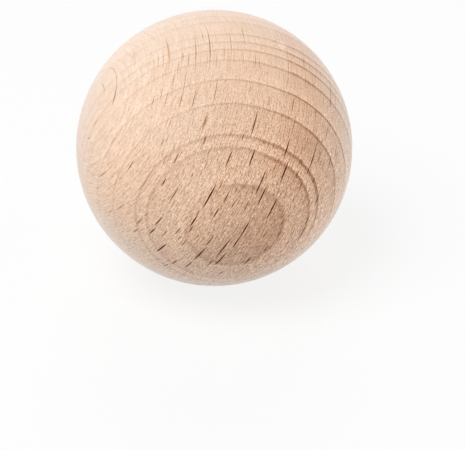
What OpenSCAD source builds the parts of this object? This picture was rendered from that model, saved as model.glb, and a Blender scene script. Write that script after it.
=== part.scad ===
// Turned beech ball, plain and unfinished.
// It is one solid piece, turned on a lathe about the wood's own fibre and then sanded all over.
// Sizes are in millimetres. The origin is the centre of the ball, and +Z is up.

/* [Ball] */
// Diameter of the ball
ball_d = 50; // [12:0.5:120]

/* [Turning ends] */
// Width of the flat spot at each end of the turning axis, where the pip was sanded away
spot_d = 2; // [0.5:0.1:6]

/* [Fibre] */
// Lean of the fibre, and so of the turning axis, from upright towards +X, in degrees
fibre_lean = 29; // [0:1:90]

/* [Hidden] */

$fn = 180;
beech = [0.89, 0.74, 0.60];

ball_r = ball_d / 2;
// Distance of each flat spot from the centre: there the ball is spot_d across
spot_h = sqrt(pow(ball_r, 2) - pow(spot_d / 2, 2));

// The profile that the lathe leaves: half a disc, cut square at the two turning ends
module turned_profile() {
    intersection() {
        circle(r = ball_r);
        translate([0, -spot_h])
            square([ball_r, 2 * spot_h]);
    }
}

// The whole ball, swung so that its turning axis follows the fibre
module ball() {
    color(beech)
        rotate([0, fibre_lean, 0])
            rotate_extrude()
                turned_profile();
}

ball();
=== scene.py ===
from math import atan2, cos, pi, radians, sin, sqrt

import bpy
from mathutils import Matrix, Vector


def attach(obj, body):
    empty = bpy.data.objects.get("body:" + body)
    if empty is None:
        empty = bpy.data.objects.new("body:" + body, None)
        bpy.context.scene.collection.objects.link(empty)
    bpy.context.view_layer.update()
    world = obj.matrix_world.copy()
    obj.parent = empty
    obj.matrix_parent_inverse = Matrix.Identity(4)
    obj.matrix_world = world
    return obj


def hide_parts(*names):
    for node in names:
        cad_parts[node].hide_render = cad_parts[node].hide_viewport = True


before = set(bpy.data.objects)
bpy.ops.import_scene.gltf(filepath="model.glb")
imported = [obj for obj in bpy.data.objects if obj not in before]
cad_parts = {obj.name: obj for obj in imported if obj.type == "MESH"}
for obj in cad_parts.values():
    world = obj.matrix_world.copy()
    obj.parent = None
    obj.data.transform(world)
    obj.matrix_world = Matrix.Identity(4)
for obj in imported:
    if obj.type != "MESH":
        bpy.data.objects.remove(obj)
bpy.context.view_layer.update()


# ---------------------------------------------------------------- the ball: turned form
# The ball is one block of beech, turned between two centres on a lathe and sanded all over.
# Each end of the turning axis keeps a flat spot 2 mm wide, where the last pip was sanded off.
# The block had its fibre along that axis, which leans 29 degrees to the right.

MM = 0.001
HAIR = 0.001 * MM
BALL_R = 25.0 * MM
SPOT_R = 1.0 * MM
SPOT_HEIGHT = sqrt(BALL_R**2 - SPOT_R**2)
SPOT_STEPS = (0.30, 0.35, 0.35)
FIBRE_LEAN = 29.0
RING_TURN = 8.0
ARC_POINTS = 628
TURNS = 316


def pick(mesh, wanted):
    """Selects the vertices that wanted says yes to, and nothing else."""
    for part in (mesh.polygons, mesh.edges):
        part.foreach_set("select", [False] * len(part))
    mesh.vertices.foreach_set("select", [wanted(vertex.co) for vertex in mesh.vertices])


bpy.ops.object.select_all(action="DESELECT")
bpy.ops.mesh.primitive_circle_add(vertices=ARC_POINTS, radius=BALL_R, rotation=(pi / 2, 0, 0))
ball = bpy.context.object
ball.name = ball.data.name = "turned_ball"
bpy.ops.object.transform_apply(rotation=True)

# The gouge's path is half a circle that stops at the rim of each spot.
pick(ball.data, lambda at: at.x < HAIR or abs(at.z) > SPOT_HEIGHT + HAIR)
bpy.ops.object.mode_set(mode="EDIT")
bpy.ops.mesh.delete(type="VERT")
bpy.ops.object.mode_set(mode="OBJECT")

# From there it runs straight in to the axis, in steps, so that the spots come out flat.
for side in (1, -1):
    reach = SPOT_R
    for step in SPOT_STEPS:
        pick(ball.data, lambda at: abs(at.z - side * SPOT_HEIGHT) < HAIR and at.x < reach + HAIR)
        reach -= step * SPOT_R
        bpy.ops.object.mode_set(mode="EDIT")
        bpy.ops.mesh.extrude_region_move(
            TRANSFORM_OT_translate={"value": (-step * SPOT_R, 0, 0)}
        )
        bpy.ops.object.mode_set(mode="OBJECT")

bpy.ops.object.mode_set(mode="EDIT")
bpy.ops.mesh.select_all(action="SELECT")
bpy.ops.mesh.spin(steps=TURNS, angle=2 * pi, center=(0, 0, 0), axis=(0, 0, 1))
bpy.ops.mesh.select_all(action="SELECT")
bpy.ops.mesh.remove_doubles(threshold=HAIR)
bpy.ops.mesh.normals_make_consistent(inside=False)
bpy.ops.object.mode_set(mode="OBJECT")
bpy.ops.object.shade_smooth()

# The skin laid out flat, all of it at one scale: the upper half is a diamond in the middle of a
# square, and the lower half, cut along four lines that run up to the rim, fills the corners.
SKIN_BORDER = 0.004
half_side = 0.5 - SKIN_BORDER
skin = ball.data.uv_layers.new(name="OFBake")
for face in ball.data.polygons:
    right = 1 if face.center.x > 0 else -1
    away = 1 if face.center.y > 0 else -1
    for corner in face.loop_indices:
        aim = ball.data.vertices[ball.data.loops[corner].vertex_index].co.normalized()
        reach = sqrt(max(1 - abs(aim.z), 0))
        share = atan2(abs(aim.y), abs(aim.x)) / (pi / 2)
        flat_x, flat_y = reach * (1 - share), reach * share
        if face.center.z < 0:
            flat_x, flat_y = 1 - flat_y, 1 - flat_x
        skin.data[corner].uv = (0.5 + right * flat_x * half_side, 0.5 + away * flat_y * half_side)

# Built upright, the ball is turned so that its growth rings face as they lie, and then leaned.
ball.rotation_euler = (0, 0, radians(RING_TURN))
bpy.ops.object.transform_apply(rotation=True)
ball.rotation_euler = (0, radians(FIBRE_LEAN), 0)
bpy.ops.object.transform_apply(rotation=True)


# ---------------------------------------------------------------- the ball: beech, bare
# Beech is pale and pinkish, with fine even pores. Each growth ring starts light and ends in a
# thin dark line, and brown rays cross it: spindles on the flat-sawn face, thin threads on the
# end grain, and silvery flakes on the quartered faces, where they lie along the surface.

# The wood's own axes, in mm, run across the rays, out through the rings and up the fibre.
ACROSS, OUTWARD, FIBRE = (1, 0, 0), (0, 1, 0), (0, 0, 1)
beech = bpy.data.materials.new("bare_beech")
beech.use_nodes = True
ball.data.materials.append(beech)
beech_tree = beech.node_tree


def feed(tree, socket, source):
    """Gives an input a number or a vector, or links it to the output that feeds it."""
    if isinstance(source, bpy.types.NodeSocket):
        tree.links.new(source, socket)
    else:
        socket.default_value = source


def calc(tree, operation, *terms, clamp=False):
    """The result of a Math node."""
    node = tree.nodes.new("ShaderNodeMath")
    node.operation = operation
    node.use_clamp = clamp
    for socket, term in zip(node.inputs, terms):
        feed(tree, socket, term)
    return node.outputs["Value"]


def vector_calc(tree, operation, *terms):
    """The result of a Vector Math node, which is one number for a dot product."""
    node = tree.nodes.new("ShaderNodeVectorMath")
    node.operation = operation
    for socket, term in zip(node.inputs, terms):
        feed(tree, socket, term)
    return node.outputs["Value" if operation == "DOT_PRODUCT" else "Vector"]


def total(tree, *terms):
    """The sum of all the terms."""
    result = terms[0]
    for term in terms[1:]:
        result = calc(tree, "ADD", result, term)
    return result


def shares(tree, *pairs):
    """Each source times its own number, as a list."""
    return [calc(tree, "MULTIPLY", source, number) for source, number in pairs]


def ramp(tree, source, start, slope):
    """0 as far as start, then rising to 1 by slope for each unit. A slope below 0 runs backwards."""
    return calc(tree, "MULTIPLY_ADD", source, slope, -start * slope, clamp=True)


SEED_STEPS = (1.0, 2.3, 5.1)


def noise(tree, place, cell, seed, detail=1.0):
    """Smooth noise from -1 to 1, its grain as big as cell, which is in mm each way."""
    scaled = vector_calc(tree, "DIVIDE", place, cell)
    moved = vector_calc(tree, "ADD", scaled, [seed * step for step in SEED_STEPS])
    node = tree.nodes.new("ShaderNodeTexNoise")
    node.inputs["Scale"].default_value = 1.0
    node.inputs["Detail"].default_value = detail
    feed(tree, node.inputs["Vector"], moved)
    return calc(tree, "MULTIPLY_ADD", node.outputs["Fac"], 2.0, -1.0)


def new_group(name, takes, gives):
    """A shader node group with these named inputs and outputs, and its two end nodes."""
    group = bpy.data.node_groups.new(name, "ShaderNodeTree")
    for way, sockets in (("INPUT", takes), ("OUTPUT", gives)):
        for label, kind in sockets.items():
            group.interface.new_socket(label, in_out=way, socket_type="NodeSocket" + kind)
    return group, group.nodes.new("NodeGroupInput").outputs, group.nodes.new("NodeGroupOutput").inputs


def use_group(group, gives, **takes):
    """Places a group in the beech and feeds its inputs, named with _ for a space."""
    node = beech_tree.nodes.new("ShaderNodeGroup")
    node.node_tree = group
    for label, source in takes.items():
        feed(beech_tree, node.inputs[label.replace("_", " ")], source)
    return node.outputs[gives]


# The wood's own axes: the lean and then the turn are taken off, and metres become mm.
place_node = beech_tree.nodes.new("ShaderNodeTexCoord")
wood_node = beech_tree.nodes.new("ShaderNodeMapping")
wood_node.vector_type = "POINT"
wood_node.inputs["Rotation"].default_value = (0, radians(-FIBRE_LEAN), radians(-RING_TURN))
wood_node.inputs["Scale"].default_value = (1 / MM, 1 / MM, 1 / MM)
feed(beech_tree, wood_node.inputs["Vector"], place_node.outputs["Object"])
wood = wood_node.outputs["Vector"]
facing = vector_calc(beech_tree, "DIVIDE", wood, (BALL_R / MM,) * 3)
facing_across = vector_calc(beech_tree, "DOT_PRODUCT", facing, ACROSS)
facing_out = vector_calc(beech_tree, "DOT_PRODUCT", facing, OUTWARD)
facing_up = vector_calc(beech_tree, "DOT_PRODUCT", facing, FIBRE)
flat_sawn = calc(beech_tree, "ABSOLUTE", facing_out)
quartered = calc(beech_tree, "ABSOLUTE", facing_across)
end_grain = calc(beech_tree, "ABSOLUTE", facing_up)

# Growth rings. The tone is how much darker the wood is, as a natural logarithm. Past a ring's
# edge the wood starts light, and before it it ends dark, with a dark line a little way in.
ring_group, ring_in, ring_out = new_group(
    "growth_ring",
    {"Depth": "Float", "Edge": "Float", "Line": "Float", "Line Width": "Float",
     "Early": "Float", "Late": "Float", "Fade": "Float", "Tone": "Float"},
    {"Tone": "Float"},
)
EDGE_BLUR = 0.14
LINE_BEFORE = 1.2
past = calc(ring_group, "SUBTRACT", ring_in["Depth"], ring_in["Edge"])
outside = ramp(ring_group, past, -EDGE_BLUR / 2, 1 / EDGE_BLUR)
inside = calc(ring_group, "SUBTRACT", 1.0, outside)
distance = calc(ring_group, "ABSOLUTE", past)
fading = calc(
    ring_group, "EXPONENT",
    calc(ring_group, "MULTIPLY", calc(ring_group, "DIVIDE", distance, ring_in["Fade"]), -1.0),
)
early = calc(ring_group, "MULTIPLY", calc(ring_group, "MULTIPLY", outside, ring_in["Early"]), -1.0)
late = calc(ring_group, "MULTIPLY", inside, ring_in["Late"])
line_off = calc(
    ring_group, "ADD", calc(ring_group, "DIVIDE", past, ring_in["Line Width"]), LINE_BEFORE
)
line_bell = calc(
    ring_group, "EXPONENT",
    calc(ring_group, "MULTIPLY", calc(ring_group, "MULTIPLY", line_off, line_off), -1.0),
)
ring_tone = total(
    ring_group,
    ring_in["Tone"],
    calc(ring_group, "MULTIPLY", calc(ring_group, "ADD", early, late), fading),
    calc(ring_group, "MULTIPLY", line_bell, ring_in["Line"]),
)
feed(ring_group, ring_out["Tone"], ring_tone)

# Each ring: how far out its edge is from the ball's middle, the strength and the width of its
# dark line, how light the wood starts past the edge, how dark it ends before it, and how far
# both fade. The block came from well out in the tree, so the rings lie nearly flat.
GROWTH_RINGS = (
    (-20.25, 0.12, 0.16, 0.05, 0.055, 1.0),
    (-18.85, 0.17, 0.17, 0.04, 0.075, 0.5),
    (-14.75, 0.20, 0.15, 0.05, 0.04, 1.3),
    (-10.75, 0.23, 0.14, 0.05, 0.03, 1.2),
    (-6.45, 0.14, 0.24, 0.04, 0.03, 1.0),
    (-3.8, 0.18, 0.20, 0.04, 0.03, 0.8),
    (-1.65, 0.13, 0.26, 0.04, 0.03, 0.8),
    (0.65, 0.12, 0.28, 0.03, 0.03, 0.8),
    (5.2, 0.05, 0.30, 0.03, 0.05, 1.6),
    (7.9, 0.08, 0.20, 0.05, 0.03, 1.2),
    (11.6, 0.12, 0.20, 0.05, 0.03, 1.2),
    (13.4, 0.09, 0.20, 0.05, 0.03, 0.8),
    (17.0, 0.13, 0.20, 0.05, 0.04, 1.2),
    (19.3, 0.10, 0.20, 0.04, 0.03, 0.9),
    (21.4, 0.11, 0.18, 0.04, 0.03, 0.9),
    (23.6, 0.09, 0.14, 0.03, 0.04, 1.0),
)

# On the inner half they bend in a slow wave, on the outer half they slant, and all of them
# drift and tremble.
INNER_HALF = {"start": -2.5, "slope": -0.12}
RING_WAVE = 0.2
RING_WAVE_LENGTH = 28.0
RING_SLANT = 0.038
RING_DRIFT = 0.15
RING_TREMBLE = 0.10
across_mm = vector_calc(beech_tree, "DOT_PRODUCT", wood, ACROSS)
outward_mm = vector_calc(beech_tree, "DOT_PRODUCT", wood, OUTWARD)
up_mm = vector_calc(beech_tree, "DOT_PRODUCT", wood, FIBRE)
inner_half = ramp(beech_tree, outward_mm, **INNER_HALF)
wave = calc(
    beech_tree, "MULTIPLY",
    calc(beech_tree, "COSINE", calc(beech_tree, "MULTIPLY", across_mm, 2 * pi / RING_WAVE_LENGTH)),
    calc(beech_tree, "MULTIPLY", inner_half, RING_WAVE),
)
slant = calc(
    beech_tree, "MULTIPLY", across_mm,
    calc(beech_tree, "MULTIPLY_ADD", inner_half, RING_SLANT, -RING_SLANT),
)
ring_depth = total(
    beech_tree,
    outward_mm, wave, slant,
    calc(
        beech_tree, "MULTIPLY", noise(beech_tree, wood, cell=(7.0, 12.0, 7.0), seed=1.7), RING_DRIFT
    ),
    calc(
        beech_tree, "MULTIPLY", noise(beech_tree, wood, cell=(0.9, 3.0, 1.6), seed=4.3), RING_TREMBLE
    ),
)

# The front only just cuts one more ring, which leans and wanders by itself.
FRONT_LEAN = (-0.04, 1.0, 0.0)
FRONT_WANDER = 0.12
front_depth = calc(
    beech_tree, "MULTIPLY_ADD", noise(beech_tree, wood, cell=(2.5, 5.0, 4.0), seed=3.1),
    FRONT_WANDER, vector_calc(beech_tree, "DOT_PRODUCT", wood, FRONT_LEAN),
)
front_ring = use_group(
    ring_group, "Tone", Depth=front_depth, Edge=-23.25, Line=0.11, Line_Width=0.18,
    Early=0.075, Late=0.11, Fade=1.8, Tone=0.0,
)
rings = 0.0
for edge, line, line_width, early_tone, late_tone, fade in GROWTH_RINGS:
    rings = use_group(
        ring_group, "Tone", Depth=ring_depth, Edge=edge, Line=line, Line_Width=line_width,
        Early=early_tone, Late=late_tone, Fade=fade, Tone=rings,
    )

# The rings show strongly on the upper right, where a ray cuts them off short, and faintly on
# the quartered left. On the upper right they are also painted light and shade: their tones are
# deepened as raking light on a ring relief would shade it. What the front and the back only
# just cut shows evenly all round.
RELIEF_SHADE_SIDE = (0.6, 0.0, 0.8)
HEART_BLUR = 1.0
round_heart = calc(
    beech_tree, "SQRT",
    total(
        beech_tree, calc(beech_tree, "MULTIPLY", across_mm, across_mm),
        calc(beech_tree, "MULTIPLY", up_mm, up_mm), HEART_BLUR**2,
    ),
)
# Painted light and shade: how far round towards the upper right, where the ring tones are deepened as
# raking light on a relief would deepen them.
relief_shade_side = calc(
    beech_tree, "MAXIMUM",
    calc(
        beech_tree, "DIVIDE", vector_calc(beech_tree, "DOT_PRODUCT", wood, RELIEF_SHADE_SIDE), round_heart
    ),
    0.0,
)
near_front = ramp(beech_tree, outward_mm, start=-17.0, slope=-0.3)
short_of_back = ramp(beech_tree, outward_mm, start=22.5, slope=-0.4)
DIVIDING_RAY = 1.0
NEXT_RAY = 12.0
past_ray = calc(
    beech_tree, "MULTIPLY",
    ramp(beech_tree, across_mm, start=DIVIDING_RAY, slope=5.0),
    ramp(beech_tree, across_mm, start=NEXT_RAY + 1.0, slope=-0.5),
)
STRONG_SHOW = 2.1
END_GRAIN_SHOW = 1.4
END_GRAIN_FALL = 6.0
SIDE_FALL = 3.0
one_sided = calc(
    beech_tree, "MULTIPLY",
    calc(
        beech_tree, "MULTIPLY_ADD",
        calc(beech_tree, "MULTIPLY", past_ray, calc(beech_tree, "POWER", end_grain, END_GRAIN_FALL)),
        END_GRAIN_SHOW, STRONG_SHOW,
    ),
    calc(beech_tree, "POWER", relief_shade_side, SIDE_FALL),
)
# There the pores break each ring line into dashes.
DASH_DEPTH = 0.9
dashes = noise(beech_tree, wood, cell=(0.35, 2.0, 0.7), seed=7.7, detail=0.0)
EVEN_SHOW = 0.5
ring_show = calc(
    beech_tree, "MULTIPLY_ADD",
    calc(
        beech_tree, "MULTIPLY", one_sided, calc(beech_tree, "MULTIPLY_ADD", dashes, DASH_DEPTH, 1.0)
    ),
    short_of_back,
    calc(beech_tree, "MULTIPLY_ADD", near_front, 1.0 - EVEN_SHOW, EVEN_SHOW),
)
front_show = ramp(beech_tree, across_mm, start=-12.5, slope=0.1)
ring_tones = calc(
    beech_tree, "MULTIPLY_ADD", rings, ring_show, calc(beech_tree, "MULTIPLY", front_ring, front_show)
)

# Rays, each a thin brown sheet that stands along the fibre and runs out through the rings.
ray_group, ray_in, ray_out = new_group(
    "ray_sheets",
    {"Wood": "Vector", "Cell": "Vector", "Shift": "Vector", "Half Width": "Float",
     "Half Height": "Float", "Kept": "Float"},
    {"Mask": "Float"},
)
# Each cell of a grid holds one ray, by chance longer or shorter, stronger or weaker, or none.
SHORTEST, LENGTH_SPREAD = 0.5, 0.8
WEAKEST, STRENGTH_SPREAD = 0.3, 0.7
RAY_ROUNDNESS = 0.7
in_cells = vector_calc(
    ray_group, "ADD", vector_calc(ray_group, "DIVIDE", ray_in["Wood"], ray_in["Cell"]), ray_in["Shift"]
)
cells = ray_group.nodes.new("ShaderNodeTexVoronoi")
cells.voronoi_dimensions = "3D"
cells.inputs["Scale"].default_value = 1.0
feed(ray_group, cells.inputs["Vector"], in_cells)
from_middle = vector_calc(
    ray_group, "MULTIPLY",
    vector_calc(ray_group, "SUBTRACT", in_cells, cells.outputs["Position"]), ray_in["Cell"],
)
lots = ray_group.nodes.new("ShaderNodeSeparateColor")
feed(ray_group, lots.inputs["Color"], cells.outputs["Color"])
size_lot = calc(ray_group, "MULTIPLY_ADD", lots.outputs["Red"], LENGTH_SPREAD, SHORTEST)
aside = calc(
    ray_group, "DIVIDE", vector_calc(ray_group, "DOT_PRODUCT", from_middle, ACROSS),
    ray_in["Half Width"],
)
above = calc(
    ray_group, "DIVIDE", vector_calc(ray_group, "DOT_PRODUCT", from_middle, FIBRE),
    calc(ray_group, "MULTIPLY", ray_in["Half Height"], size_lot),
)
spindle = calc(
    ray_group, "SUBTRACT", 1.0,
    calc(
        ray_group, "ADD", calc(ray_group, "MULTIPLY", aside, aside),
        calc(ray_group, "MULTIPLY", above, above),
    ),
    clamp=True,
)
shown = calc(ray_group, "LESS_THAN", lots.outputs["Green"], ray_in["Kept"])
weight = calc(ray_group, "MULTIPLY_ADD", lots.outputs["Blue"], STRENGTH_SPREAD, WEAKEST)
mask = calc(
    ray_group, "MULTIPLY",
    calc(ray_group, "MULTIPLY", calc(ray_group, "POWER", spindle, RAY_ROUNDNESS), shown), weight,
)
feed(ray_group, ray_out["Mask"], mask)

# The sheets wander a little as they run.
RAY_WANDER = 0.5
wander = beech_tree.nodes.new("ShaderNodeCombineXYZ")
feed(
    beech_tree, wander.inputs["X"],
    calc(
        beech_tree, "MULTIPLY", noise(beech_tree, wood, cell=(30.0, 9.0, 14.0), seed=8.1), RAY_WANDER
    ),
)
ray_place = vector_calc(beech_tree, "ADD", wood, wander.outputs["Vector"])
broad_rays = use_group(
    ray_group, "Mask", Wood=ray_place, Cell=(1.6, 30.0, 5.0), Shift=(0.4, 0.7, 0.2),
    Half_Width=0.11, Half_Height=1.8, Kept=0.7,
)
middle_rays = use_group(
    ray_group, "Mask", Wood=ray_place, Cell=(0.9, 12.0, 2.4), Shift=(7.3, 3.1, 5.6),
    Half_Width=0.055, Half_Height=1.3, Kept=0.8,
)
fine_rays = use_group(
    ray_group, "Mask", Wood=ray_place, Cell=(0.48, 5.0, 1.2), Shift=(2.9, 9.4, 1.3),
    Half_Width=0.05, Half_Height=0.65, Kept=0.8,
)

# The long dark rays of the front face: how far across, how far up, half the height, strength.
# Each is a spindle that runs in from the front as far as the middle of the ball.
LONG_RAYS = (
    (-6.45, 3.9, 1.9, 1.05), (-2.4, 13.0, 1.1, 0.85), (-6.2, 11.3, 1.1, 0.5),
    (4.55, 12.6, 1.45, 0.9), (0.95, 10.4, 1.3, 0.5), (0.95, 8.8, 0.9, 0.65),
    (2.25, 7.6, 1.4, 0.8), (5.3, 6.0, 1.6, 0.95), (-3.75, 5.1, 0.9, 0.5),
    (-3.95, 1.6, 1.0, 0.55), (-5.6, 6.7, 0.8, 0.28), (2.45, 0.8, 1.5, 0.9),
    (2.5, -2.4, 1.1, 0.75), (-6.5, -1.9, 1.1, 0.75), (-6.7, 0.0, 0.6, 0.35),
    (-6.05, -3.8, 0.8, 0.45), (-7.65, -5.5, 0.9, 0.38), (-11.15, -6.1, 1.1, 0.5),
    (-10.75, -8.8, 0.9, 0.6), (-9.05, -7.7, 0.7, 0.3), (-7.55, -11.3, 1.3, 1.0),
    (-5.4, -7.3, 0.8, 0.4), (-1.95, -4.2, 1.1, 0.4), (-1.7, -8.2, 1.7, 0.85),
    (-1.65, -12.0, 1.1, 0.6), (1.1, -4.8, 2.0, 0.75), (2.2, -7.5, 1.6, 0.88),
    (1.15, -9.3, 0.9, 0.5), (7.15, -6.2, 1.1, 0.75), (8.8, -2.4, 0.7, 0.4),
    (9.5, 1.3, 0.9, 0.4), (8.7, 3.8, 0.6, 0.35), (-11.7, 0.4, 1.5, 0.3),
    (-11.15, 11.6, 0.7, 0.3), (-5.2, 15.1, 0.5, 0.4), (0.4, 4.9, 0.9, 0.3),
    (-9.4, 8.4, 0.7, 0.22), (-13.3, -8.8, 1.0, 0.28), (9.45, 14.8, 0.8, 0.65),
    (9.35, 13.4, 0.5, 0.85), (3.45, 15.9, 1.3, 0.55), (-3.9, 17.3, 1.4, 0.38),
    (14.0, 4.4, 0.8, 0.65), (14.4, 1.8, 1.5, 0.4), (14.0, 8.3, 0.7, 0.75),
    (7.3, 12.6, 0.5, 0.35), (8.9, 11.0, 0.6, 0.35), (-14.1, 6.2, 1.0, 0.32),
    (-19.2, -0.5, 1.1, 0.18), (-3.8, -13.1, 0.7, 0.45), (-4.2, -15.2, 0.5, 0.5),
    (11.4, 11.9, 0.4, 0.5), (12.7, 10.4, 0.35, 0.5), (13.8, 14.7, 0.35, 0.35),
    (7.2, 14.7, 0.35, 0.4), (9.4, 17.8, 0.4, 0.35), (4.9, 9.1, 0.7, 0.3),
    (-1.3, 15.8, 0.35, 0.35), (0.7, 15.8, 0.3, 0.35), (2.4, 12.9, 0.6, 0.3),
    (-1.8, 8.1, 0.4, 0.35), (-1.85, 10.6, 0.5, 0.25), (-3.75, 8.5, 0.4, 0.25),
    (-2.75, 6.9, 0.6, 0.28), (-9.8, 10.4, 0.35, 0.3), (-10.7, 5.6, 0.4, 0.25),
    (-14.6, 14.8, 0.8, 0.2), (-1.95, 4.6, 0.7, 0.3), (-14.05, 1.3, 0.7, 0.45),
    (-13.3, -6.3, 0.7, 0.2), (-4.6, 1.1, 0.4, 0.3), (6.7, 0.6, 0.6, 0.3),
    (12.5, -0.7, 0.7, 0.35), (-6.6, -6.8, 0.6, 0.3), (-6.4, -5.0, 0.4, 0.3),
    (-4.3, -4.6, 0.6, 0.25), (4.6, -11.0, 0.6, 0.35), (13.1, -3.9, 0.35, 0.35),
    (-12.5, -11.3, 0.9, 0.28), (-12.1, 13.9, 1.0, 0.28), (-16.9, 6.8, 0.7, 0.2),
    (-18.5, 2.6, 0.5, 0.2), (-16.4, -1.2, 2.0, 0.14), (-16.6, -9.0, 1.2, 0.2),
    (-15.8, -7.3, 0.8, 0.15), (-16.8, -12.2, 1.0, 0.18),
)
long_group, long_in, long_out = new_group(
    "long_ray",
    {"Wood": "Vector", "Middle": "Vector", "Spread": "Vector", "Strength": "Float",
     "Mask": "Float"},
    {"Mask": "Float"},
)
SPINDLE_SOFTNESS = 1.6
away = vector_calc(
    long_group, "MULTIPLY",
    vector_calc(long_group, "SUBTRACT", long_in["Wood"], long_in["Middle"]), long_in["Spread"],
)
long_spindle = calc(
    long_group, "SUBTRACT", 1.0, vector_calc(long_group, "DOT_PRODUCT", away, away), clamp=True
)
feed(
    long_group, long_out["Mask"],
    calc(
        long_group, "MULTIPLY_ADD", calc(long_group, "POWER", long_spindle, SPINDLE_SOFTNESS),
        long_in["Strength"], long_in["Mask"],
    ),
)
# A spindle's tips fade, so it is made LONGER than it looks. Short rays are thinner too.
LONG_HALF_WIDTH = 0.15
THINNEST, WIDENING = 0.65, 0.3
LONGER = 1.45
RAY_CONTRAST = 1.6
FRONT_FACE = -24.0
FRONT_REACH = 24.0
long_rays = 0.0
for across, up, half_height, strength in LONG_RAYS:
    half_width = LONG_HALF_WIDTH * min(THINNEST + WIDENING * half_height, 1.0)
    long_rays = use_group(
        long_group, "Mask", Wood=wood, Middle=(across, FRONT_FACE, up), Mask=long_rays,
        Spread=(1 / half_width, 1 / FRONT_REACH, 1 / (LONGER * half_height)),
        Strength=strength**RAY_CONTRAST,
    )

# The threads that rays leave on the end grain: how far across, how far out, half the
# length, strength.
END_THREADS = (
    (-13.1, -3.5, 5.0, 0.20), (-15.2, -4.0, 3.8, 0.15), (-18.9, -1.2, 2.8, 0.09),
    (-9.7, -2.5, 3.0, 0.11), (-7.3, 0.5, 2.6, 0.12), (-5.5, -6.5, 1.5, 0.12),
    (-4.8, -7.0, 1.3, 0.12), (-16.4, -10.0, 2.5, 0.1), (-14.6, -12.8, 1.3, 0.16),
    (-11.6, -12.5, 2.2, 0.16), (-18.4, -11.5, 1.5, 0.1), (11.4, -3.5, 3.5, 0.16),
    (11.3, -6.8, 0.9, 0.3), (11.3, -12.8, 1.5, 0.2), (2.6, -12.8, 1.8, 0.25),
    (4.6, -2.5, 1.2, 0.15), (5.9, -2.5, 1.0, 0.12), (9.0, -1.5, 1.2, 0.12),
    (7.9, -12.0, 1.1, 0.12), (-6.0, -12.3, 0.9, 0.14), (-3.9, -17.2, 1.9, 0.35),
    (3.4, -18.9, 1.0, 0.32), (3.55, -16.0, 1.6, 0.18), (9.5, -16.9, 1.8, 0.4),
    (-11.9, -16.8, 1.0, 0.14), (10.9, -16.4, 0.7, 0.25), (13.8, -15.0, 0.8, 0.3),
    (-19.5, -3.5, 2.4, 0.05), (-20.1, -3.5, 2.6, 0.05), (-20.6, -3.8, 2.4, 0.05),
    (-14.0, 0.0, 1.4, 0.1), (-16.2, -5.5, 1.2, 0.12), (-17.0, -4.5, 1.0, 0.1),
    (-17.6, -6.5, 1.4, 0.1), (-18.0, -8.8, 1.2, 0.1), (-16.4, -12.8, 1.0, 0.14),
    (-2.2, -13.8, 1.0, 0.14), (1.0, -4.5, 5.0, 0.12), (-7.7, -6.2, 1.4, 0.1),
    (-10.9, -5.0, 2.0, 0.08), (-12.1, -7.0, 1.6, 0.08),
)
THREAD_HALF_WIDTH = 0.075
THREAD_THINNEST, THREAD_WIDENING = 0.8, 2.0
THREAD_DEPTH = 0.7
THREAD_HALF_HEIGHT = 3.2
for across, outward, half_length, strength in END_THREADS:
    up = sqrt(max((BALL_R / MM) ** 2 - across**2 - outward**2, 0.0))
    half_width = THREAD_HALF_WIDTH * (THREAD_THINNEST + THREAD_WIDENING * strength)
    long_rays = use_group(
        long_group, "Mask", Wood=wood, Middle=(across, outward, up), Mask=long_rays,
        Spread=(1 / half_width, 1 / (LONGER * half_length), 1 / THREAD_HALF_HEIGHT),
        Strength=THREAD_DEPTH * strength,
    )

# The loops of the quartered face, where a ray sheet only just meets the surface: how far
# across, out and up, half the width, length and height, strength.
LOOPS = (
    (-24.08, 0.0, 4.7, 0.04, 8.0, 4.0, 0.12), (-24.77, 0.0, 3.2, 0.03, 3.0, 1.2, 0.07),
    (-21.0, -11.5, -6.7, 0.07, 2.2, 2.2, 0.15), (-19.2, -16.0, -0.5, 0.08, 3.0, 1.6, 0.12),
    (-18.8, -3.0, 16.0, 0.08, 6.0, 2.4, 0.08), (-23.0, 2.0, -9.0, 0.05, 5.0, 2.5, 0.08),
    (-24.07, -4.2, 4.9, 0.06, 2.4, 1.9, 0.13), (-24.5, -4.6, -1.4, 0.15, 0.3, 1.8, 0.07),
    (-24.05, -4.7, -4.6, 0.05, 0.9, 1.0, 0.12), (-23.2, -9.3, 1.0, 0.15, 0.2, 0.8, 0.06),
    (-22.5, -10.9, 0.2, 0.15, 0.2, 1.0, 0.05), (-20.0, -10.9, -10.2, 0.06, 1.3, 1.1, 0.12),
    (-19.2, -10.4, 12.2, 0.07, 2.0, 1.4, 0.12), (-20.0, -10.6, 10.6, 0.07, 1.6, 1.2, 0.12),
    (-21.9, -9.6, -4.3, 0.07, 0.8, 1.2, 0.08),
)
for across, outward, up, half_width, half_length, half_height, strength in LOOPS:
    long_rays = use_group(
        long_group, "Mask", Wood=wood, Middle=(across, outward, up), Mask=long_rays,
        Spread=(1 / half_width, 1 / half_length, 1 / half_height),
        Strength=THREAD_DEPTH * strength,
    )

# The broad rays of the near side are all in these lists, so the scattered ones are kept to the
# side turned away.
FAR_SIDE = (0.37, 0.80, -0.46)
elsewhere = ramp(
    beech_tree, vector_calc(beech_tree, "DOT_PRODUCT", facing, FAR_SIDE), start=-0.15, slope=6.0
)

# How coarse the surface looks: most where it cuts the rays squarely, least on the quarter.
# Its rise to the right is painted light and shade: the grain's contrast grows there as raking
# light on its relief would make it.
COARSE_BASE, COARSE_FLAT_SAWN, COARSE_RAKED_RIGHT, COARSE_QUARTER = -0.47, 0.75, 0.65, -0.9
far_quarter = ramp(beech_tree, facing_across, start=0.825, slope=8.0)
coarse_and_raked = calc(
    beech_tree, "EXPONENT",
    total(
        beech_tree, calc(beech_tree, "MULTIPLY_ADD", flat_sawn, COARSE_FLAT_SAWN, COARSE_BASE),
        *shares(beech_tree, (facing_across, COARSE_RAKED_RIGHT), (far_quarter, COARSE_QUARTER)),
    ),
)

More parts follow.
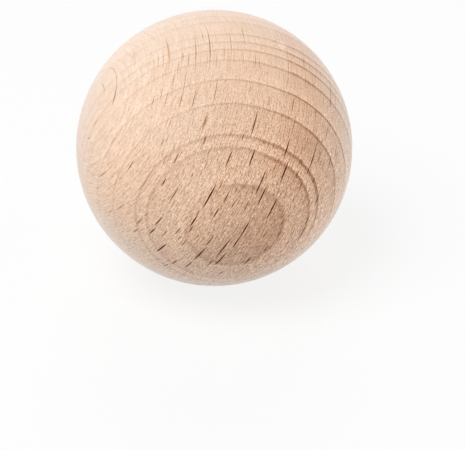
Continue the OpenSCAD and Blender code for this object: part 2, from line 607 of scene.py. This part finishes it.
# How strongly the small rays show: most on the flat-sawn faces, less on the end grain and the
# right, and least on the far quarter.
SQUARE_FALL = 1.5
SQUARE_FLAT_SAWN, SQUARE_END_GRAIN = 0.8, 0.22
SQUARE_RIGHT, SQUARE_RIGHT_BASE = 0.3, 0.08
SQUARE_QUARTER, SQUARE_QUARTER_BASE = -0.25, 0.03
cut_square = total(
    beech_tree,
    calc(
        beech_tree, "MULTIPLY", calc(beech_tree, "POWER", flat_sawn, SQUARE_FALL), SQUARE_FLAT_SAWN
    ),
    calc(beech_tree, "MULTIPLY", end_grain, SQUARE_END_GRAIN),
    calc(beech_tree, "MULTIPLY_ADD", facing_across, SQUARE_RIGHT, SQUARE_RIGHT_BASE, clamp=True),
    calc(beech_tree, "MULTIPLY_ADD", far_quarter, SQUARE_QUARTER, SQUARE_QUARTER_BASE),
)
BROAD_SHARE, MIDDLE_SHARE, FINE_SHARE = 2.4, 0.9, 1.2
small_rays = total(
    beech_tree,
    calc(
        beech_tree, "MULTIPLY", calc(beech_tree, "MULTIPLY", broad_rays, elsewhere), BROAD_SHARE
    ),
    *shares(beech_tree, (middle_rays, MIDDLE_SHARE), (fine_rays, FINE_SHARE)),
)
LONG_RAY_DEPTH = 8.5
DEEPEST_RAY = 4.0
COARSE_RAY_SHARE = 0.6
ray_tone = calc(
    beech_tree, "MINIMUM", DEEPEST_RAY,
    calc(
        beech_tree, "MULTIPLY_ADD", long_rays, LONG_RAY_DEPTH,
        calc(
            beech_tree, "MULTIPLY", calc(beech_tree, "MULTIPLY", small_rays, cut_square),
            calc(beech_tree, "MULTIPLY_ADD", coarse_and_raked, COARSE_RAY_SHARE, 1.0 - COARSE_RAY_SHARE),
        ),
    ),
)

# Pores and fibres drawn out along the grain, the silvery flakes of the quartered faces, and
# the slow mottle that any beech has.
FIBRE_TONE, VESSEL_TONE, PORE_TONE = 0.08, 0.4, 0.29
VESSEL_FLOOR = 0.2
fibres = noise(beech_tree, wood, cell=(0.22, 0.22, 1.8), seed=6.6, detail=0.0)
vessels = calc(beech_tree, "MAXIMUM", calc(beech_tree, "ADD", fibres, -VESSEL_FLOOR), 0.0)
pores = noise(beech_tree, wood, cell=(0.22, 0.22, 0.4), seed=2.2, detail=0.0)
flakes = noise(beech_tree, ray_place, cell=(0.24, 4.0, 2.6), seed=9.2)
mottle = noise(beech_tree, wood, cell=(5.0, 5.0, 9.0), seed=3.4)
fine_tone = calc(
    beech_tree, "MULTIPLY",
    total(
        beech_tree,
        *shares(beech_tree, (fibres, FIBRE_TONE), (vessels, VESSEL_TONE), (pores, PORE_TONE)),
    ),
    coarse_and_raked,
)
# The flakes give out at the very pole, and the quartered face is paler towards the top.
FLAKE_TONE = 0.23
FLAKE_FALL = 2.2
PALER_UP = -0.4
short_of_pole = ramp(beech_tree, quartered, start=1.01875, slope=-8.0)
flake_tone = calc(
    beech_tree, "MULTIPLY",
    calc(
        beech_tree, "MULTIPLY_ADD", facing_up, PALER_UP,
        calc(beech_tree, "MULTIPLY", flakes, short_of_pole),
    ),
    calc(beech_tree, "MULTIPLY", calc(beech_tree, "POWER", quartered, FLAKE_FALL), FLAKE_TONE),
)

# A browner wedge inside one ring on the right, which stops dead at a long ray.
WEDGE_START, WEDGE_END = 3.6, 13.1
WEDGE_OUTER, WEDGE_INNER = -14.9, -18.6
WEDGE_TOP, WEDGE_FOOT = 20.0, -1.0
wedge = calc(
    beech_tree, "MULTIPLY",
    calc(
        beech_tree, "MULTIPLY",
        ramp(beech_tree, across_mm, start=WEDGE_START, slope=5.0),
        ramp(beech_tree, across_mm, start=WEDGE_END, slope=-0.2),
    ),
    calc(
        beech_tree, "MULTIPLY",
        calc(
            beech_tree, "MULTIPLY",
            ramp(beech_tree, ring_depth, start=WEDGE_OUTER, slope=-5.0),
            ramp(beech_tree, ring_depth, start=WEDGE_INNER, slope=0.7),
        ),
        calc(
            beech_tree, "MULTIPLY",
            ramp(beech_tree, up_mm, start=WEDGE_TOP, slope=-0.3),
            ramp(beech_tree, up_mm, start=WEDGE_FOOT, slope=0.3),
        ),
    ),
)

# The flat spots at the two ends of the turning axis, sanded pale, with a few dark specks.
from_axis = calc(
    beech_tree, "SQRT",
    total(
        beech_tree, calc(beech_tree, "MULTIPLY", across_mm, across_mm),
        calc(beech_tree, "MULTIPLY", outward_mm, outward_mm),
    ),
)
SPOT_EDGE = 0.25
SPOT_RAGGED = 0.3
SPECK_REACH = 1.9
sanded = ramp(
    beech_tree, calc(beech_tree, "MULTIPLY_ADD", pores, SPOT_RAGGED, from_axis),
    start=SPOT_R / MM + SPOT_EDGE / 2, slope=-1 / SPOT_EDGE,
)
specks = calc(
    beech_tree, "MULTIPLY",
    ramp(
        beech_tree, noise(beech_tree, wood, cell=(0.3, 0.3, 0.8), seed=5.5, detail=0.0),
        start=0.3, slope=4.0,
    ),
    ramp(beech_tree, from_axis, start=SPECK_REACH, slope=-1.0),
)

# Across the middle of the front the wood is a little lighter on one side of the heart line and
# darker on the other, which dies away all round.
STRETCH_LENGTH = 28.0
DARKEST_AT = 9.0
STRETCHES_SIZE = (15.0, 62.5, 9.0)
from_front = vector_calc(beech_tree, "DIVIDE", wood, STRETCHES_SIZE)
stretches = calc(
    beech_tree, "MULTIPLY",
    calc(
        beech_tree, "COSINE",
        calc(
            beech_tree, "MULTIPLY_ADD", across_mm, 2 * pi / STRETCH_LENGTH,
            -2 * pi * DARKEST_AT / STRETCH_LENGTH,
        ),
    ),
    calc(
        beech_tree, "EXPONENT",
        calc(
            beech_tree, "MULTIPLY", vector_calc(beech_tree, "DOT_PRODUCT", from_front, from_front), -1.0
        ),
    ),
)
# Past the dividing ray the end grain is browner, as far as the next strong ray.
browner = calc(
    beech_tree, "MULTIPLY",
    ramp(beech_tree, up_mm, start=9.0, slope=0.2),
    calc(
        beech_tree, "MULTIPLY",
        ramp(beech_tree, across_mm, start=DIVIDING_RAY - 1.0, slope=0.5),
        ramp(beech_tree, across_mm, start=NEXT_RAY - 1.0, slope=-0.3),
    ),
)
# The tan of the front face gives out on the left. Low on the right it gives way to a painted
# reflection of the bright floor, which makes the wood paler there.
FLOOR_REFLECTION_AIM, FLOOR_REFLECTION_START = (0.06, 0.0, -0.12), 0.5
left_of_front = calc(
    beech_tree, "MULTIPLY", ramp(beech_tree, across_mm, start=-6.0, slope=-0.2), flat_sawn
)
# Painted reflection of the bright floor: paler low on the right.
floor_reflection_low_right = calc(
    beech_tree, "ADD", vector_calc(beech_tree, "DOT_PRODUCT", wood, FLOOR_REFLECTION_AIM), -FLOOR_REFLECTION_START,
    clamp=True,
)

# How much darker, or below 0 how much lighter, each of these makes the wood.
MOTTLE_TONE, SANDED_TONE, SPECK_TONE = 0.025, -0.12, 0.35
WEDGE_TONE, STRETCH_TONE, BROWNER_TONE, LEFT_TONE = 0.11, 0.12, 0.06, -0.02
tone = total(
    beech_tree, ring_tones, fine_tone, flake_tone,
    *shares(
        beech_tree, (mottle, MOTTLE_TONE), (sanded, SANDED_TONE), (specks, SPECK_TONE),
        (wedge, WEDGE_TONE), (stretches, STRETCH_TONE), (browner, BROWNER_TONE),
        (left_of_front, LEFT_TONE),
    ),
)

# Darker beech is also redder, and rays are browner still: each channel falls by its own power
# of the tone. Red stops falling first, so that the deepest rays stay brown.
WOOD_DARKENING = (0.395, 0.26, 0.21)
RAY_DARKENING = (0.43, 0.27, 0.155)
DEEPEST_RED = 3.2
wood_dye = beech_tree.nodes.new("ShaderNodeCombineXYZ")
for socket, power in zip(wood_dye.inputs, WOOD_DARKENING):
    feed(beech_tree, socket, calc(beech_tree, "POWER", power, tone))
ray_dye = beech_tree.nodes.new("ShaderNodeCombineXYZ")
red_ray_tone = calc(beech_tree, "MINIMUM", ray_tone, DEEPEST_RED)
for socket, power, depth in zip(ray_dye.inputs, RAY_DARKENING, (red_ray_tone, ray_tone, ray_tone)):
    feed(beech_tree, socket, calc(beech_tree, "POWER", power, depth))

# The ground lies between pale and tan: tanner on the flat-sawn faces, the right and the top, and
# pale where a quartered face turns up. The tan on the right is partly painted shade, the deeper
# colour of the side turned from the lamps, and the paler patch low on the right is a painted
# reflection of the bright floor.
PALE_BEECH = (0.744, 0.58, 0.461, 1)
TAN_BEECH = (0.86, 0.56, 0.385, 1)
TAN_BASE, TAN_FLAT_SAWN, TAN_SHADED_RIGHT = 0.2, 0.6, 0.3
TAN_TOP, TAN_TOP_QUARTER = 0.2, -0.45
TAN_MOTTLE, TAN_BROWNER, TAN_GIVEN_OUT = 0.1, 0.15, -0.25
ground = beech_tree.nodes.new("ShaderNodeMix")
ground.data_type = "RGBA"
ground_low, ground_high = [socket for socket in ground.inputs if socket.type == "RGBA"]
ground_low.default_value = PALE_BEECH
ground_high.default_value = TAN_BEECH
tan_and_painted_light_share = calc(
    beech_tree, "ADD", calc(beech_tree, "MULTIPLY_ADD", flat_sawn, TAN_FLAT_SAWN, TAN_BASE),
    total(
        beech_tree,
        calc(
            beech_tree, "MULTIPLY", facing_up,
            calc(
                beech_tree, "MULTIPLY_ADD", calc(beech_tree, "MULTIPLY", quartered, quartered),
                TAN_TOP_QUARTER, TAN_TOP,
            ),
        ),
        # Partly painted shade: tanner on the right, the side turned from the lamps.
        calc(beech_tree, "MULTIPLY", calc(beech_tree, "MAXIMUM", facing_across, 0.0), TAN_SHADED_RIGHT),
        *shares(beech_tree, (mottle, TAN_MOTTLE), (browner, TAN_BROWNER)),
        calc(
            beech_tree, "MULTIPLY", calc(beech_tree, "ADD", left_of_front, floor_reflection_low_right),
            TAN_GIVEN_OUT,
        ),
    ),
    clamp=True,
)
feed(beech_tree, ground.inputs["Factor"], tan_and_painted_light_share)
ground_colour = [socket for socket in ground.outputs if socket.type == "RGBA"][0]
dyed = vector_calc(beech_tree, "MULTIPLY", ground_colour, wood_dye.outputs["Vector"])
beech_colour = vector_calc(beech_tree, "MULTIPLY", dyed, ray_dye.outputs["Vector"])

ROUGHNESS, FIBRE_ROUGHNESS = 0.55, 0.05
beech_shader = beech_tree.nodes["Principled BSDF"]
beech_shader.inputs["Specular IOR Level"].default_value = 0.02
beech_shader.inputs["Coat Roughness"].default_value = 0.3
beech_shader.inputs["Coat IOR"].default_value = 1.6
beech_shader.inputs["Coat Tint"].default_value = (0.97, 0.985, 1, 1)
feed(beech_tree, beech_shader.inputs["Base Color"], beech_colour)
feed(
    beech_tree, beech_shader.inputs["Roughness"],
    calc(beech_tree, "MULTIPLY_ADD", fibres, FIBRE_ROUGHNESS, ROUGHNESS, clamp=True),
)

# Sanded fibre ends take a pale bloom where the surface turns away, but not on the dark rays.
BLOOM = 1.9
edge_on = beech_tree.nodes.new("ShaderNodeLayerWeight")
edge_on.inputs["Blend"].default_value = 0.5
feed(
    beech_tree, beech_shader.inputs["Coat Weight"],
    calc(
        beech_tree, "MULTIPLY",
        calc(beech_tree, "MULTIPLY", edge_on.outputs["Facing"], edge_on.outputs["Facing"]),
        calc(beech_tree, "MULTIPLY_ADD", ray_tone, -1.0, BLOOM),
        clamp=True,
    ),
)

# Only the fibres are felt in the surface.
FIBRE_RELIEF = 0.05 * MM
relief = beech_tree.nodes.new("ShaderNodeBump")
relief.inputs["Strength"].default_value = 0.25
relief.inputs["Distance"].default_value = FIBRE_RELIEF
feed(beech_tree, relief.inputs["Height"], calc(beech_tree, "MULTIPLY", fibres, coarse_and_raked))
feed(beech_tree, beech_shader.inputs["Normal"], relief.outputs["Normal"])

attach(ball, "root")
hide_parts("ball")


# ---------------------------------------------------------------- the studio
# The ball stands on a pale painted floor, under four soft square lamps and a pale sky. The camera
# has a long lens and stands well back, so that the ball is seen with little perspective.

FLOOR_SIZE = 1.9
bpy.ops.object.select_all(action="DESELECT")
bpy.ops.mesh.primitive_plane_add(size=FLOOR_SIZE, location=(0, 0, -BALL_R))
floor = bpy.context.object
floor.name = floor.data.name = "studio_floor"
bpy.ops.object.transform_apply(location=True)

floor_paint = bpy.data.materials.new("pale_floor")
floor_paint.use_nodes = True
floor.data.materials.append(floor_paint)
floor_tree = floor_paint.node_tree
floor_shader = floor_tree.nodes["Principled BSDF"]
floor_shader.inputs["Base Color"].default_value = (0.8, 0.8, 0.8, 1)
floor_shader.inputs["Roughness"].default_value = 0.9
floor_shader.inputs["Specular IOR Level"].default_value = 0.0


def seen_directly(tree):
    """1 for what the camera sees, straight or in gloss or glass, and 0 for light."""
    path = tree.nodes.new("ShaderNodeLightPath")
    seen = path.outputs["Is Camera Ray"]
    for other in ("Is Glossy Ray", "Is Transmission Ray"):
        seen = calc(tree, "MAXIMUM", seen, path.outputs[other])
    return seen


# The camera sees the paint glow, so that the floor comes out near white and keeps the shadow.
GLOW_SHARE = 0.85
glow = floor_tree.nodes.new("ShaderNodeEmission")
glow.inputs["Color"].default_value = (1, 1, 1, 1)
glow.inputs["Strength"].default_value = 1.0
floor_mix = floor_tree.nodes.new("ShaderNodeMixShader")
feed(
    floor_tree, floor_mix.inputs["Fac"],
    calc(floor_tree, "MULTIPLY", seen_directly(floor_tree), GLOW_SHARE),
)
floor_tree.links.new(floor_shader.outputs["BSDF"], floor_mix.inputs[1])
floor_tree.links.new(glow.outputs["Emission"], floor_mix.inputs[2])
floor_tree.links.new(floor_mix.outputs["Shader"], floor_tree.nodes["Material Output"].inputs["Surface"])

# The sky is white to the camera and lights the ball only a little.
WORLD_LIGHT = 0.13
world = bpy.data.worlds.new("studio_world")
bpy.context.scene.world = world
world.use_nodes = True
world_tree = world.node_tree
backdrop = world_tree.nodes["Background"]
backdrop.inputs["Color"].default_value = (1, 1, 1, 1)
feed(
    world_tree, backdrop.inputs["Strength"],
    calc(world_tree, "MULTIPLY_ADD", seen_directly(world_tree), 1.0 - WORLD_LIGHT, WORLD_LIGHT),
)

# Each lamp: height and bearing in degrees, 0 towards the camera and 90 to the right, and watts.
LAMPS = {
    "key_lamp": (62, 315, 9.1),
    "back_lamp": (35, 180, 3.4),
    "right_lamp": (8, 90, 4.5),
    "left_lamp": (8, 270, 2.9),
}
LAMP_AWAY = 1.0
LAMP_SIZE = 0.6
for name, (height, bearing, watts) in LAMPS.items():
    light = bpy.data.lights.new(name, "AREA")
    light.shape = "SQUARE"
    light.size = LAMP_SIZE
    light.energy = watts
    lamp = bpy.data.objects.new(name, light)
    bpy.context.scene.collection.objects.link(lamp)
    level = cos(radians(height))
    aim = Vector((sin(radians(bearing)) * level, -cos(radians(bearing)) * level, sin(radians(height))))
    lamp.location = aim * LAMP_AWAY
    lamp.rotation_euler = aim.to_track_quat("Z", "Y").to_euler()
    lamp.visible_glossy = False

# The camera looks down at 32 degrees. The ball sits left of the middle and above it.
CAMERA_RAISE = radians(32)
CAMERA_AWAY = 2.0
FRAME_WIDTH_PX = 465
BALL_WIDTH_PX = 276.2
BALL_LEFT_PX = 18.26
BALL_ABOVE_PX = 77.12
PX_PER_M = BALL_WIDTH_PX / (2 * BALL_R)
camera = bpy.data.cameras.new("camera")
camera.lens = camera.sensor_width * CAMERA_AWAY * PX_PER_M / FRAME_WIDTH_PX
camera.clip_end = 10.0
camera_object = bpy.data.objects.new("camera", camera)
bpy.context.scene.collection.objects.link(camera_object)
bpy.context.scene.camera = camera_object
back = Vector((0, -cos(CAMERA_RAISE), sin(CAMERA_RAISE)))
up = Vector((0, sin(CAMERA_RAISE), cos(CAMERA_RAISE)))
right_and_down = Vector((BALL_LEFT_PX, 0, 0)) - up * BALL_ABOVE_PX
camera_object.location = back * CAMERA_AWAY + right_and_down / PX_PER_M
camera_object.rotation_euler = (pi / 2 - CAMERA_RAISE, 0, 0)
bpy.context.scene.view_settings.view_transform = "Standard"
